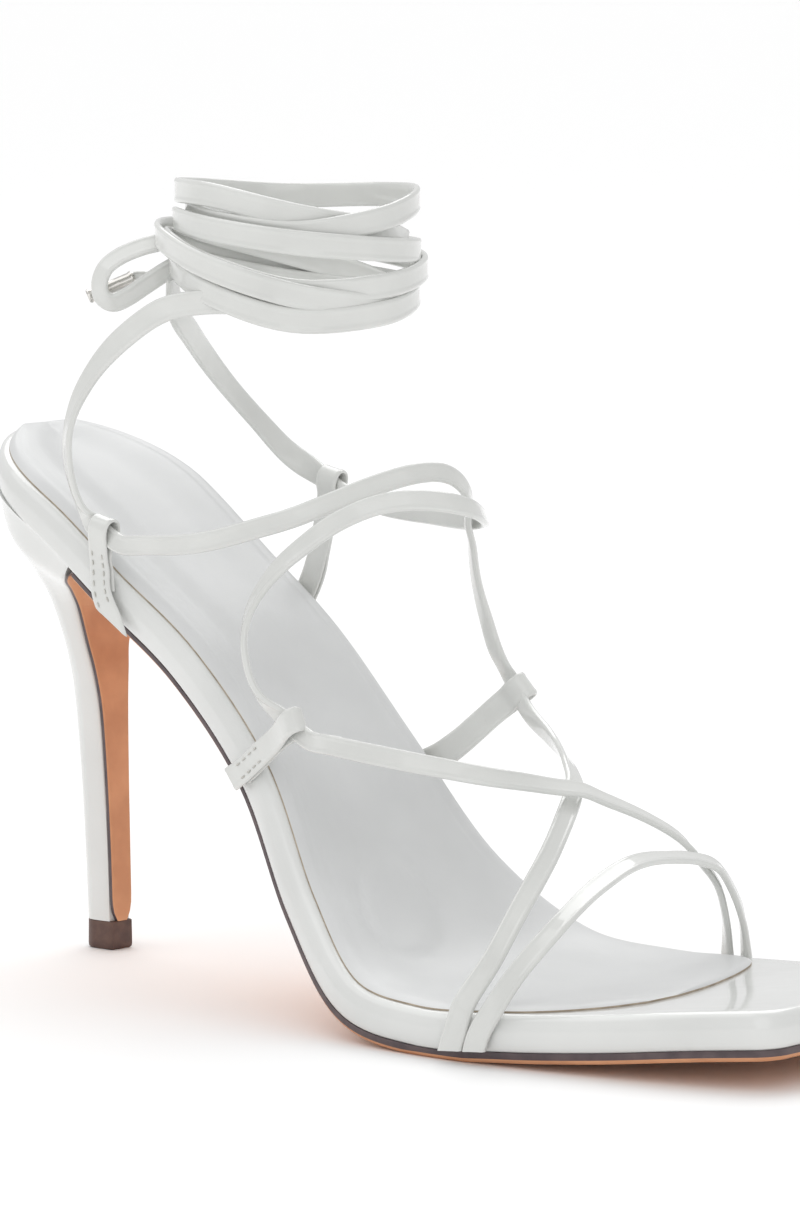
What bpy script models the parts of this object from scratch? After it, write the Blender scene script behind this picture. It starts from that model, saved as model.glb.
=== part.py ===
"""Right-foot stiletto sandal: square toe, laced straps and a tie wound round the ankle.

Lengths are millimetres, turned into metres once, where a vertex is made. X runs from the heel's back to the
toe, Y to the wearer's left (the inner side of this right foot), and Z up from the floor.
"""

import math

import bmesh
import bpy
import numpy as np
from mathutils import Matrix, Vector

MM = 0.001

# Driving sizes
LENGTH = 220.0           # plan length, heel back to toe front
GAP = 0.3                # clearance between two pieces that meet
PLATFORM_THICK = 7.0     # wrapped insole board, square to its own slope
WALL_TUCK = 0.6          # how far the wall turns in at the feather line
WALL_BULGE = 0.4
RIM_ROUND = 1.4
UPRIGHT_BACK = 30.0      # the wall leans over with the slope by this station
OUTSOLE_INSET = 0.4      # how far the outsole's edge stays inside the wall above it
OUTSOLE_BEVEL = 0.4      # share of the outsole's thickness
SOCK_INSET = 1.8         # white rim left bare around the sock
SOCK_EDGE = 0.7
SOCK_CROWN = 2.0
SOCK_BACK = 2.2
HEEL_ROUND = 25.0        # length of the rounded back of the seat
TOE_RADIUS = 4.0         # corners of the square toe
HEEL_TIP_HEIGHT = 6.0
FLAP_THICK = 0.9         # outsole leather carried down the front of the heel
STRAP_WIDTH = 5.2
STRAP_THICK = 1.5
STRAP_STEP = 5.0         # spacing of the rings along a strap
EYE_CLEAR = 0.6          # room round the lace inside a loop
LOOP_WALL = 1.3
LOOP_WIDTH = 5.0
EYE_TILT = 0.2           # how far an eye's face looks up

# Sole: a row for each station, with the half widths of the outer and inner side, the feather line's height and
# the thickness of the outsole below it
SOLE = np.array([
    # x     outer  inner  height  outsole
    (0.0,   25.8,  22.9,  102.2,  1.4),
    (25.0,  25.8,  22.9,  90.4,   1.4),
    (45.0,  26.1,  21.6,  77.2,   1.4),
    (65.0,  25.4,  20.4,  63.6,   1.4),
    (85.0,  26.6,  20.3,  44.4,   1.4),
    (105.0, 34.4,  24.0,  21.4,   1.4),
    (125.0, 41.6,  32.3,  6.0,    1.8),
    (145.0, 42.4,  39.0,  2.3,    2.2),
    (165.0, 39.9,  41.6,  3.2,    2.2),
    (185.0, 35.4,  39.2,  5.0,    2.2),
    (205.0, 29.5,  34.5,  7.3,    2.2),
    (220.0, 23.4,  29.5,  8.6,    2.2),
])

# Sock: its front edge crosses under the toes, so each row there gives how far the sock reaches to either side
SOCK_FRONT = np.array([
    # x     outer  inner
    (150.0, 40.2,  37.9),
    (158.0, 39.0,  38.2),
    (164.0, 37.9,  36.8),
    (170.0, 35.9,  30.5),
    (175.0, 33.0,  21.5),
    (179.5, 29.0,  11.0),
    (183.0, 24.2,  0.5),
    (185.2, 18.6,  -9.5),
])

# Heel: tilted D sections from the seat down, by the ends of their centre line, the half width at their fullest
# and the half width of the flat breast in front
HEEL = np.array([
    # back x  back z  front x  front z  half   breast  centre y
    (3.2,     93.0,   28.6,    79.8,    20.5,  19.0,   -1.2),
    (6.8,     84.8,   24.2,    76.8,    15.2,  13.4,   -1.0),
    (9.8,     75.6,   21.4,    72.2,    10.4,  8.8,    -0.6),
    (11.5,    67.0,   20.7,    65.0,    7.4,   6.1,    -0.3),
    (12.4,    60.0,   21.4,    58.6,    5.9,   4.8,    -0.1),
    (13.4,    51.0,   22.1,    50.4,    4.7,   3.8,    0.0),
    (14.6,    36.0,   22.8,    36.0,    3.9,   3.2,    0.0),
    (15.5,    20.5,   23.4,    20.5,    3.5,   2.9,    0.0),
    (16.2,    6.3,    23.8,    6.3,     3.4,   2.8,    0.0),
])
SEAT_HALF = 24.0
SEAT_CENTRE = -1.4
HEEL_FRONT = 36.0        # where the seat ends and the arch begins

# Core line of the foot: a strap's face looks away from the nearest point of it
CORE = np.array([
    # x    y    z
    (74.0, 0.0, 190.0),
    (74.0, 0.0, 125.0),
    (95.0, 0.0, 75.0),
    (125.0, 0.0, 36.0),
    (150.0, 0.0, 16.0),
    (216.0, 0.0, 10.0),
])

# Loops that carry the lace: centre of the eye, heading of the lace through it, and the stations where the tab
# crosses the platform's rim and reaches the feather line
LOOPS = {
    # name              eye centre            heading               rim x  sole x  side
    "loop_outer_rear": ((48.3, -28.2, 91.9), (0.92, -0.14, -0.34), 42.8, 50.0, -1),
    "loop_outer_front": ((103.0, -30.8, 58.4), (0.88, -0.04, -0.47), 85.4, 83.9, -1),
    "loop_inner_rear": ((63.2, 25.0, 99.3), (0.92, -0.12, -0.36), 55.5, 56.0, 1),
    "loop_inner_front": ((109.4, 28.6, 59.4), (0.70, -0.26, -0.62), 88.5, 86.5, 1),
}

# Free stretches of the laces, between two eyes or between an eye and the sole: x, y, z and twist in degrees
INSTEP_FROM_OUTER = [
    (61.7, -29.5, 90.6, 0),
    (69.6, -29.3, 91.2, 0),
    (79.6, -28.4, 93.0, 0),
    (88.6, -26.3, 95.7, 0),
    (95.5, -22.3, 98.2, 0),
    (101.5, -17.0, 101.4, 0),
    (107.2, -9.5, 104.8, 0),
    (111.7, -2.5, 106.7, 0),
    (113.5, 1.5, 106.6, 0),
    (114.2, 5.0, 105.0, 0),
    (113.9, 8.2, 102.4, 0),
    (112.9, 10.8, 99.6, 0),
    (110.5, 13.7, 95.3, 0),
    (107.3, 17.5, 88.6, 0),
    (105.2, 21.0, 81.9, 0),
    (104.8, 24.0, 74.9, 0),
    (105.6, 27.0, 66.5, 0),
]
VAMP_TO_OUTER = [
    (124.0, 22.0, 52.5, 0),
    (140.4, 9.6, 49.2, 0),
    (148.3, 2.0, 46.6, 0),
    (152.0, -5.0, 43.0, 0),
    (157.0, -16.0, 36.6, 0),
    (159.2, -27.0, 28.4, 0),
    (159.4, -36.0, 18.9, 0),
]
INSTEP_FROM_INNER = [
    (75.9, 25.0, 95.0, 0),
    (93.3, 21.0, 94.8, 0),
    (107.5, 16.6, 95.2, 0),
    (115.5, 11.0, 97.0, 0),
    (120.0, 5.0, 98.8, 0),
    (121.9, 0.0, 100.4, 0),
    (121.2, -5.6, 101.8, 0),
    (118.6, -10.0, 102.4, 0),
    (113.7, -16.5, 101.8, 0),
    (107.5, -21.6, 98.6, 5),
    (100.8, -25.3, 93.2, 12),
    (96.2, -27.5, 88.7, 20),
    (92.4, -29.0, 83.7, 26),
    (90.6, -30.3, 79.1, 28),
    (90.4, -31.3, 74.8, 28),
    (91.6, -32.0, 70.6, 26),
    (93.7, -32.4, 66.0, 20),
    (96.3, -32.1, 62.8, 10),
]
VAMP_TO_INNER = [
    (116.6, -33.6, 56.2, 0),
    (134.6, -28.0, 53.8, 0),
    (144.6, -19.0, 51.3, 0),
    (149.6, -6.0, 48.4, 0),
    (150.4, 1.0, 46.4, 0),
    (153.8, 9.0, 42.7, 0),
    (159.4, 20.5, 34.6, 0),
    (159.9, 27.2, 29.4, 15),
    (157.9, 32.8, 25.4, 35),
    (155.0, 37.6, 20.6, 40),
]
TOE_OVER = [
    (167.3, -40.0, 17.2, 0),
    (171.6, -32.0, 26.3, 0),
    (170.3, -16.0, 33.1, 0),
    (168.0, -3.0, 35.3, 0),
    (165.4, 11.0, 34.2, 0),
    (163.4, 20.5, 32.4, 0),
    (162.4, 26.2, 30.2, 20),
    (161.8, 31.8, 26.8, 35),
    (160.6, 37.0, 21.4, 40),
    (158.9, 40.8, 16.4, 30),
]

# Where those straps cross the rim and reach the feather line, on the outer and on the inner side
VAMP_ENDS = ((158.3, 156.2), (153.2, 153.2))
TOE_ENDS = ((166.4, 161.8), (158.9, 158.9))

# Wrap round the ankle: a row for each quarter of a turn, with its height and the layer it lies in, so that a
# turn which covers another lies outside it by more than the strap's thickness
WRAP_CENTRE = (73.8, 0.0)
WRAP_AXES = (27.2, 24.0)
WRAP_START = (-0.738, -0.675)    # direction of the quarter where a turn begins, at the outer back
WRAP = np.array([
    # height  layer
    (136.9,   -1.9),
    (139.4,   -1.9),
    (137.9,   -1.9),
    (139.6,   -1.9),
    (144.4,   0.0),
    (137.8,   0.0),
    (140.2,   0.0),
    (145.0,   0.0),
    (150.4,   0.0),
    (143.9,   0.0),
    (145.8,   0.0),
    (150.6,   0.0),
    (156.0,   0.0),
    (151.3,   0.0),
    (151.4,   0.0),
    (156.2,   -1.9),
    (158.6,   -1.9),
    (155.6,   -1.9),
    (156.8,   -1.9),
    (159.8,   -3.8),
    (161.2,   -3.8),
    (158.4,   -3.8),
    (153.8,   -3.8),
])
RISER_OUTER = [
    (42.6, -29.0, 96.8, 0),
    (40.7, -30.2, 103.8, 0),
    (40.4, -30.6, 110.5, 0),
    (41.4, -29.6, 116.4, 0),
    (45.0, -27.4, 124.6, 0),
    (50.6, -24.6, 131.8, 0),
]
RISER_INNER = [
    (54.2, 25.6, 103.0, 0),
    (44.4, 21.0, 112.2, 0),
    (43.6, 9.0, 121.2, 0),
    (48.0, -4.5, 129.0, 0),
    (52.6, -12.6, 135.0, 0),
    (53.4, -16.2, 140.2, 0),
    (56.2, -18.4, 143.4, 0),
    (61.6, -21.2, 142.0, 0),
]

# Tie at the outer back of the wrap: one bow loop, one end behind it and the metal tip of that end
TIE_LOOP = [
    (52.2, -17.0, 149.8, 45),
    (50.0, -19.0, 149.0, 45),
    (47.1, -21.8, 147.3, 45),
    (44.8, -24.0, 144.7, 45),
    (44.0, -24.7, 141.6, 45),
    (44.4, -24.4, 139.0, 45),
    (45.8, -23.0, 137.8, 45),
    (47.9, -21.0, 138.9, 45),
    (50.4, -18.6, 141.2, 45),
    (52.0, -17.1, 142.9, 45),
]
TIE_END = [
    (46.0, -16.2, 142.8, 0),
    (47.5, -14.9, 143.7, 0),
    (48.8, -13.7, 144.6, 0),
]
TIP_ENDS = ((39.0, -23.0, 138.7), (45.8, -16.4, 142.7))
TIP_RADIUS = 1.5
TIE_FACE = (0.667, -0.730, 0.15)    # where the bow's open side looks, to the outer front

WHITE = (0.80, 0.80, 0.78)
TAN = (0.47, 0.21, 0.10)
BROWN = (0.09, 0.055, 0.045)
STEEL = (0.62, 0.61, 0.60)


def smooth(stations, values, x):
    """Cubic through a table's rows, each row's slope taken from its neighbours."""
    slopes = np.gradient(values, stations)
    i = int(np.clip(np.searchsorted(stations, x) - 1, 0, len(stations) - 2))
    span = stations[i + 1] - stations[i]
    t = (x - stations[i]) / span
    start = (1 + 2 * t) * (1 - t) ** 2 * values[i] + t * (1 - t) ** 2 * span * slopes[i]
    end = t * t * (3 - 2 * t) * values[i + 1] - t * t * (1 - t) * span * slopes[i + 1]
    return start + end


def feather(x):
    """Height of the sole's feather line, where wall and outsole meet."""
    return smooth(SOLE[:, 0], SOLE[:, 3], x)


def outsole_thick(x):
    return smooth(SOLE[:, 0], SOLE[:, 4], x)


def half_width(x, side):
    """Half width of the sole on the outer (-1) or inner (+1) side."""
    column = SOLE[:, 1] if side < 0 else SOLE[:, 2]
    if x < HEEL_ROUND:
        return column[1] * math.sqrt(max(0.0, 1 - ((HEEL_ROUND - x) / HEEL_ROUND) ** 2))
    width = smooth(SOLE[1:, 0], column[1:], x)
    past = x - (LENGTH - TOE_RADIUS)
    if past > 0:
        width -= TOE_RADIUS - math.sqrt(max(0.0, TOE_RADIUS ** 2 - past ** 2))
    return width


def sole_up(x):
    """Direction out of the sole's slope; at the very back the wall stands upright."""
    slope = (feather(x + 0.5) - feather(x - 0.5)) if x > 0.5 else feather(1.0) - feather(0.0)
    lean = min(1.0, x / UPRIGHT_BACK)
    return Vector((-slope * lean, 0, 1)).normalized()


def on_sole(x, y, up):
    return Vector((x, y, feather(x))) + sole_up(x) * up


def new_object(name, bm, colour, roughness, metallic=0.0):
    if bm.calc_volume(signed=True) < 0:
        bmesh.ops.reverse_faces(bm, faces=bm.faces)
    mesh = bpy.data.meshes.new(name)
    bm.to_mesh(mesh)
    bm.free()
    mesh.shade_smooth()
    mesh.set_sharp_from_angle(angle=math.radians(40))
    obj = bpy.data.objects.new(name, mesh)
    material = bpy.data.materials.new(name + "_finish")
    material.use_nodes = True
    shader = material.node_tree.nodes["Principled BSDF"]
    shader.inputs["Base Color"].default_value = (*colour, 1)
    shader.inputs["Roughness"].default_value = roughness
    shader.inputs["Metallic"].default_value = metallic
    mesh.materials.append(material)
    parts.objects.link(obj)
    obj.parent = root
    return obj


def loft(rings):
    """Closed mesh through rings of as many points each, with flat caps."""
    bm = bmesh.new()
    loops = [[bm.verts.new(Vector(point) * MM) for point in ring] for ring in rings]
    for near, far in zip(loops, loops[1:]):
        for i in range(len(near)):
            j = (i + 1) % len(near)
            bm.faces.new((near[i], near[j], far[j], far[i]))
    bm.faces.new(reversed(loops[0]))
    bm.faces.new(loops[-1])
    return bm


def outer_shell(bm):
    """Drop the small sealed pockets that a union leaves between two turns of strap."""
    left = set(bm.verts)
    shells = []
    while left:
        shell, reached = set(), [left.pop()]
        while reached:
            vert = reached.pop()
            shell.add(vert)
            for edge in vert.link_edges:
                other = edge.other_vert(vert)
                if other in left:
                    left.remove(other)
                    reached.append(other)
        shells.append(shell)
    largest = max(shells, key=len)
    pockets = [vert for shell in shells if shell is not largest for vert in shell]
    bmesh.ops.delete(bm, geom=pockets, context="VERTS")


def join(target, *others):
    """Union other objects into the target, which keeps only the outside of the result."""
    for other in others:
        modifier = target.modifiers.new("join_" + other.name, "BOOLEAN")
        modifier.operation = "UNION"
        modifier.solver = "MANIFOLD"
        modifier.object = other
    bpy.context.view_layer.update()
    joined = target.evaluated_get(bpy.context.evaluated_depsgraph_get())
    bm = bmesh.new()
    bm.from_mesh(joined.to_mesh())
    joined.to_mesh_clear()
    target.modifiers.clear()
    outer_shell(bm)
    bm.to_mesh(target.data)
    bm.free()
    for other in others:
        bpy.data.objects.remove(other, do_unlink=True)


def stations(first, last):
    """Stations along the sole, closer together in the heel's round and the toe's corners."""
    heel = [HEEL_ROUND * (1 - math.cos(math.radians(a))) for a in (13, 26, 40, 55, 72)]
    middle = [HEEL_ROUND + i * 10 for i in range(19)]
    toe = [LENGTH - TOE_RADIUS * c for c in (1.0, 0.5, 0.16, 0.0)]
    return [first] + [x for x in heel + middle + toe if first + 1 < x < last - 0.3] + [last]


def platform():
    """Insole board wrapped in patent: a thick curved plate with an upright, slightly full wall."""
    rings = []
    for x in stations(0.5, LENGTH):
        outer, inner = half_width(x, -1), half_width(x, 1)
        top = PLATFORM_THICK
        half = [
            (WALL_TUCK, 0.0),
            (0.0, WALL_TUCK),
            (-WALL_BULGE, top * 0.5),
            (0.3, top - RIM_ROUND * 0.7),
            (RIM_ROUND, top),
        ]
        section = [(-outer + inset, up) for inset, up in half]
        section += [((inner - outer) / 2, top)]
        section += [(inner - inset, up) for inset, up in reversed(half)]
        section += [((inner - outer) / 2, 0.0)]
        rings.append([on_sole(x, y, up) for y, up in section])
    return new_object("platform", loft(rings), WHITE, 0.12)


def sock_reach(x, side):
    """How far the sock reaches from the centre line at this station."""
    if x > SOCK_FRONT[0, 0]:
        return smooth(SOCK_FRONT[:, 0], SOCK_FRONT[:, 1 if side < 0 else 2], x)
    return half_width(x, side) - SOCK_INSET


def insole():
    """Padded sock: a thin cushion, fuller along its sides, that ends in a curve under the toes."""
    rings = []
    for x in stations(SOCK_BACK, SOCK_FRONT[0, 0]) + list(SOCK_FRONT[1:, 0]):
        low, high = -sock_reach(x, -1), sock_reach(x, 1)
        wide = high - low
        base = PLATFORM_THICK + GAP
        shoulder = min(5.0, wide * 0.25)
        section = [
            (low, base),
            (low, base + SOCK_EDGE),
            (low + shoulder, base + SOCK_CROWN),
            ((low + high) / 2, base + SOCK_CROWN * 0.8),
            (high - shoulder, base + SOCK_CROWN),
            (high, base + SOCK_EDGE),
            (high, base),
            ((low + high) / 2, base),
        ]
        rings.append([on_sole(x, y, up) for y, up in section])
    return new_object("insole", loft(rings), WHITE, 0.3)


def outsole_plate():
    """Leather outsole from the heel's front to the toe, with a bevelled edge and a flat tread."""
    rings = []
    for x in stations(HEEL_FRONT + FLAP_THICK, LENGTH - OUTSOLE_INSET):
        outer = half_width(min(x, LENGTH - WALL_TUCK), -1) - OUTSOLE_INSET
        inner = half_width(min(x, LENGTH - WALL_TUCK), 1) - OUTSOLE_INSET
        under = -GAP - outsole_thick(x)
        bevel = OUTSOLE_BEVEL * outsole_thick(x)
        section = [
            (-outer, -GAP),
            (-outer, under + bevel),
            (-outer + bevel, under),
            ((inner - outer) / 2, under),
            (inner - bevel, under),
            (inner, under + bevel),
            (inner, -GAP),
            ((inner - outer) / 2, -GAP),
        ]
        ring = [on_sole(x, y, up) for y, up in section]
        for point in ring:
            point.z = max(point.z, 0.0)
        rings.append(ring)
    return new_object("outsole", loft(rings), TAN, 0.45)


def heel_sections():
    """Heel rows from the seat down, the seat's own row first."""
    back, front = (feather(x) - GAP for x in (0.5, HEEL_FRONT))
    return [(0.5, back, HEEL_FRONT, front, SEAT_HALF, SEAT_HALF, SEAT_CENTRE)] + [tuple(row) for row in HEEL]


def breast_flap():
    """The outsole's leather turned down over the front of the heel."""
    rings = []
    for _, _, front, height, _, breast, centre in heel_sections():
        back = front + GAP
        face = back + FLAP_THICK
        rings.append([
            (back, centre - breast, height),
            (face, centre - breast, height),
            (face, centre + breast, height),
            (back, centre + breast, height),
        ])
    drop = Vector((FLAP_THICK, 0, -outsole_thick(HEEL_FRONT)))
    top = [Vector(point) + drop for point in rings[0]]
    return new_object("breast_flap", loft([top] + rings[1:]), TAN, 0.45)


def d_section(back_x, back_z, front_x, front_z, half, breast, centre):
    """D-shaped ring in a tilted plane: flat breast, sides that ease out to the full width, round back."""
    depth = front_x - back_x
    round_depth = min(half, depth * 0.62)
    flat = [(front_x, -breast), (front_x, 0.0), (front_x, breast)]
    side = [(front_x - (depth - round_depth) * 0.5, half)]
    arc = []
    for step in range(9):
        angle = math.pi / 2 + math.pi * step / 8
        arc.append((back_x + round_depth * (1 + math.cos(angle)), half * math.sin(angle)))
    outline = flat + side + arc + [(x, -y) for x, y in side]
    ring = []
    for x, y in outline:
        share = (x - back_x) / depth
        ring.append((x, centre + y, back_z + share * (front_z - back_z)))
    return ring


def heel():
    """Covered stiletto heel, from the seat's outline down to a slender stem."""
    rings = [d_section(*row) for row in heel_sections()]
    rings[0] = [(x, y, feather(x) - GAP) for x, y, _ in rings[0]]
    return new_object("heel", loft(rings), WHITE, 0.12)


def heel_tip():
    """Hard top piece that the heel stands on."""
    back, _, front, _, half, breast, centre = HEEL[-1]
    rings = []
    for z, grow in ((HEEL_TIP_HEIGHT, 0.0), (HEEL_TIP_HEIGHT * 0.1, 0.0), (0.0, -0.4)):
        rings.append(d_section(back - grow, z, front + FLAP_THICK + grow, z, half + grow, breast + grow, centre))
    return new_object("heel_tip", loft(rings), BROWN, 0.55)


def away_from_core(point):
    """Outward direction: from the nearest point of the foot's core line."""
    best = None
    for low, high in zip(CORE, CORE[1:]):
        low, high = Vector(low), Vector(high)
        run = high - low
        share = max(0.0, min(1.0, (point - low).dot(run) / run.length_squared))
        out = point - (low + run * share)
        if best is None or out.length < best.length:
            best = out
    return best


def sample(route):
    """Point, outward face and twist at even steps along the smooth route through the rows."""
    points = np.array([row[:3] for row in route], float)
    faces = np.array([row[4:] or away_from_core(Vector(row[:3])).normalized() for row in route], float)
    twists = np.array([row[3] for row in route], float)
    along = np.concatenate([[0], np.cumsum(np.linalg.norm(np.diff(points, axis=0), axis=1))])
    count = max(2, int(round(along[-1] / STRAP_STEP)))
    samples = []
    for distance in np.linspace(0, along[-1], count + 1):
        place = [smooth(along, points[:, axis], distance) for axis in range(3)]
        face = [np.interp(distance, along, faces[:, axis]) for axis in range(3)]
        samples.append((Vector(place), Vector(face), float(np.interp(distance, along, twists))))
    return samples


def strap_frames(route):
    """Places along a strap with the direction of its face and of its width."""
    samples = sample(route)
    frames = []
    for i, (point, face, twist) in enumerate(samples):
        before = samples[max(0, i - 1)][0]
        after = samples[min(len(samples) - 1, i + 1)][0]
        travel = (after - before).normalized()
        face = (face - travel * face.dot(travel)).normalized()
        face = Matrix.Rotation(math.radians(twist), 3, travel) @ face
        frames.append((point, face, travel.cross(face)))
    return frames


def strap_mesh(frames, width=STRAP_WIDTH, thick=STRAP_THICK):
    """Strap with softened edges, swept along its frames."""
    half, deep = width / 2, thick / 2
    section = [
        (-half, -deep * 0.4), (-half + deep * 0.6, -deep), (half - deep * 0.6, -deep), (half, -deep * 0.4),
        (half, deep * 0.4), (half - deep * 0.6, deep), (-half + deep * 0.6, deep), (-half, deep * 0.4),
    ]
    rings = []
    for point, face, across in frames:
        rings.append([point + across * a + face * n for a, n in section])
    return loft(rings)


def strap(name, route):
    return new_object(name, strap_mesh(strap_frames(route)), WHITE, 0.15)


def eye_frame(name):
    """Centre of a loop's eye with the lace's heading, the outward face and the eye's long side."""
    centre, heading, _, _, side = LOOPS[name]
    centre, heading = Vector(centre), Vector(heading).normalized()
    face = Vector((0, side, EYE_TILT))
    face = (face - heading * face.dot(heading)).normalized()
    return centre, heading, face, heading.cross(face)


def through_eye(name, reach):
    """A lace point on the eye's axis, this far past its centre, with the face that it has there."""
    centre, heading, face, _ = eye_frame(name)
    return (*(centre + heading * reach), 0, *face)


def wall_run(rim_x, sole_x, side):
    """Points down the outside of the wall, from above the rim to the feather line, facing out of the outline."""
    points = []
    for x, up in ((rim_x, PLATFORM_THICK + 0.6), ((rim_x + sole_x) / 2, PLATFORM_THICK * 0.5), (sole_x, 0.5)):
        flare = (half_width(x + 1, side) - half_width(x - 1, side)) / 2
        face = Vector((-flare, side, 0)).normalized()
        stand_off = face * (WALL_BULGE + GAP + STRAP_THICK / 2)
        points.append((*(on_sole(x, side * half_width(x, side), up) + stand_off), 0, *face))
    return points


def upper():
    """Laced straps from loop to loop and toe to sole, one solid joined where they cross."""
    leaving, passing = (0.4, 2.4, 5.0), (-4.0, -1.5, 1.5, 4.0)
    first = [through_eye("loop_outer_rear", reach) for reach in leaving] + INSTEP_FROM_OUTER
    first += [through_eye("loop_inner_front", reach) for reach in passing] + VAMP_TO_OUTER
    first += wall_run(*VAMP_ENDS[0], -1)
    second = [through_eye("loop_inner_rear", reach) for reach in leaving] + INSTEP_FROM_INNER
    second += [through_eye("loop_outer_front", reach) for reach in passing] + VAMP_TO_INNER
    second += wall_run(*VAMP_ENDS[1], 1)
    toe = list(reversed(wall_run(*TOE_ENDS[0], -1))) + TOE_OVER + wall_run(*TOE_ENDS[1], 1)
    straps = strap("upper_straps", first)
    join(straps, strap("second_lace", second), strap("toe_strap", toe))
    return straps


def wrap_route():
    """The outer riser and the turns of the wrap that it runs into, a point for each eighth of a turn."""
    start = math.atan2(WRAP_START[1], WRAP_START[0])
    quarters = np.arange(len(WRAP), dtype=float)
    route = [through_eye("loop_outer_rear", reach) for reach in (-0.4, -2.0, -4.0)] + RISER_OUTER
    for step in range(2 * len(WRAP) - 1):
        quarter = step / 2
        angle = start + quarter * math.pi / 2
        layer = float(np.interp(quarter, quarters, WRAP[:, 1]))
        x = WRAP_CENTRE[0] + (WRAP_AXES[0] + layer) * math.cos(angle)
        y = WRAP_CENTRE[1] + (WRAP_AXES[1] + layer) * math.sin(angle)
        route.append((x, y, smooth(quarters, WRAP[:, 0], quarter), 0))
    return route


def ankle_tie():
    """Both risers and the wound turns, one solid."""
    tie = strap("ankle_tie", wrap_route())
    inner = [through_eye("loop_inner_rear", reach) for reach in (-0.4, -2.0, -4.0)] + RISER_INNER
    join(tie, strap("inner_riser", inner))
    return tie


def bow():
    """Loose tie: the bow loop, the end behind it and that end's metal tip. Both straps lie flat to one side."""
    for name, route in (("tie_loop", TIE_LOOP), ("tie_end", TIE_END)):
        strap(name, [(*row, *TIE_FACE) for row in route])
    low, high = (Vector(end) for end in TIP_ENDS)
    axis = (high - low).normalized()
    turn = axis.to_track_quat("Z", "Y").to_matrix()
    length = (high - low).length
    rings = []
    for along, radius in ((0.0, TIP_RADIUS * 0.8), (0.4, TIP_RADIUS), (length - 0.8, TIP_RADIUS), (length, 0.7)):
        ring = []
        for side in range(12):
            angle = math.tau * side / 12
            ring.append(low + turn @ Vector((radius * math.cos(angle), radius * math.sin(angle), along)))
        rings.append(ring)
    new_object("tie_tip", loft(rings), STEEL, 0.2, 1.0)


def eye_mesh(name):
    """Flat ring that the lace runs through: a rounded outline with a slot, as deep as the tab is wide."""
    centre, heading, face, across = eye_frame(name)
    slot_high = STRAP_WIDTH / 2 + EYE_CLEAR
    slot_deep = STRAP_THICK / 2 + EYE_CLEAR
    rings = []
    for reach in (-LOOP_WIDTH / 2, LOOP_WIDTH / 2):
        for grow in (0.0, LOOP_WALL):
            high, deep = slot_high + grow, slot_deep + grow
            corner = 0.5 + grow
            outline = []
            for turn in range(4):
                for part in range(3):
                    angle = math.pi / 2 * (turn + part / 2)
                    a = math.copysign(high - corner, math.cos(math.pi / 4 + math.pi / 2 * turn))
                    n = math.copysign(deep - corner, math.sin(math.pi / 4 + math.pi / 2 * turn))
                    outline.append((a + corner * math.cos(angle), n + corner * math.sin(angle)))
            rings.append([centre + heading * reach + across * a + face * n for a, n in outline])
    low_in, low_out, high_in, high_out = rings
    bm = bmesh.new()
    loops = [[bm.verts.new(Vector(p) * MM) for p in ring] for ring in (low_in, low_out, high_out, high_in)]
    for near, far in zip(loops, loops[1:] + loops[:1]):
        for i in range(len(near)):
            j = (i + 1) % len(near)
            bm.faces.new((near[i], near[j], far[j], far[i]))
    return bm


def lace_loop(name):
    """Tab from the feather line up the wall to its eye."""
    _, _, rim_x, sole_x, side = LOOPS[name]
    centre, heading, face, across = eye_frame(name)
    if across.z > 0:
        across = -across
    foot = centre + across * (STRAP_WIDTH / 2 + EYE_CLEAR + LOOP_WALL * 0.85)
    route = [(*(foot + across * reach), 0, *face) for reach in (0.0, 2.0)]
    route += wall_run(rim_x, sole_x, side)
    eye = new_object(name, eye_mesh(name), WHITE, 0.2)
    join(eye, new_object(name + "_tab", strap_mesh(strap_frames(route), LOOP_WIDTH), WHITE, 0.2))
    return eye


def origin_at_bottom_centre():
    """Stand the sandal on the origin: the middle of its footprint, without the loose tie."""
    bpy.context.view_layer.update()
    graph = bpy.context.evaluated_depsgraph_get()
    corners = []
    for obj in parts.objects:
        if obj.type == "MESH" and not obj.name.startswith("tie_"):
            evaluated = obj.evaluated_get(graph)
            corners += [evaluated.matrix_world @ Vector(corner) for corner in evaluated.bound_box]
    low = Vector([min(c[i] for c in corners) for i in range(3)])
    high = Vector([max(c[i] for c in corners) for i in range(3)])
    root.location = (-(low.x + high.x) / 2, -(low.y + high.y) / 2, -low.z)


for old in list(bpy.data.objects):
    bpy.data.objects.remove(old, do_unlink=True)
parts = bpy.data.collections.new("stiletto_sandal")
bpy.context.scene.collection.children.link(parts)
root = bpy.data.objects.new("sandal_origin", None)
parts.objects.link(root)

platform()
insole()
join(outsole_plate(), breast_flap())
heel()
heel_tip()
upper()
ankle_tie()
bow()
for loop_name in LOOPS:
    lace_loop(loop_name)
origin_at_bottom_centre()
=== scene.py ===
# %% [markdown]
# # A laced stiletto sandal
# The solids of the part are already packed. This lesson loads them as a fixed frame, then makes the
# pieces that the eye sees: patent straps, a padded sock, a wrapped platform, a leather outsole and a
# covered heel. The tables are in millimetres from the heel's back, as in the part, and one function turns
# them into metres of the frame.

import math

import bmesh
import bpy
import numpy as np
from mathutils import Matrix, Vector, noise


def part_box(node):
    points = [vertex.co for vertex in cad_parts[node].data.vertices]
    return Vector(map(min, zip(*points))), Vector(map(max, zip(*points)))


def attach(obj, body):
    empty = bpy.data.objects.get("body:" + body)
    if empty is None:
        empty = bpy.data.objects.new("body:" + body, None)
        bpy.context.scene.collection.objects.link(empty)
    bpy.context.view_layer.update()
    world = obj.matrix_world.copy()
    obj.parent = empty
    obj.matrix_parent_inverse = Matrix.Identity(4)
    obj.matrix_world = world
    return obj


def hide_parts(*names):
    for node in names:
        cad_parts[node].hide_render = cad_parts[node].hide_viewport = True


MM = 0.001
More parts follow.
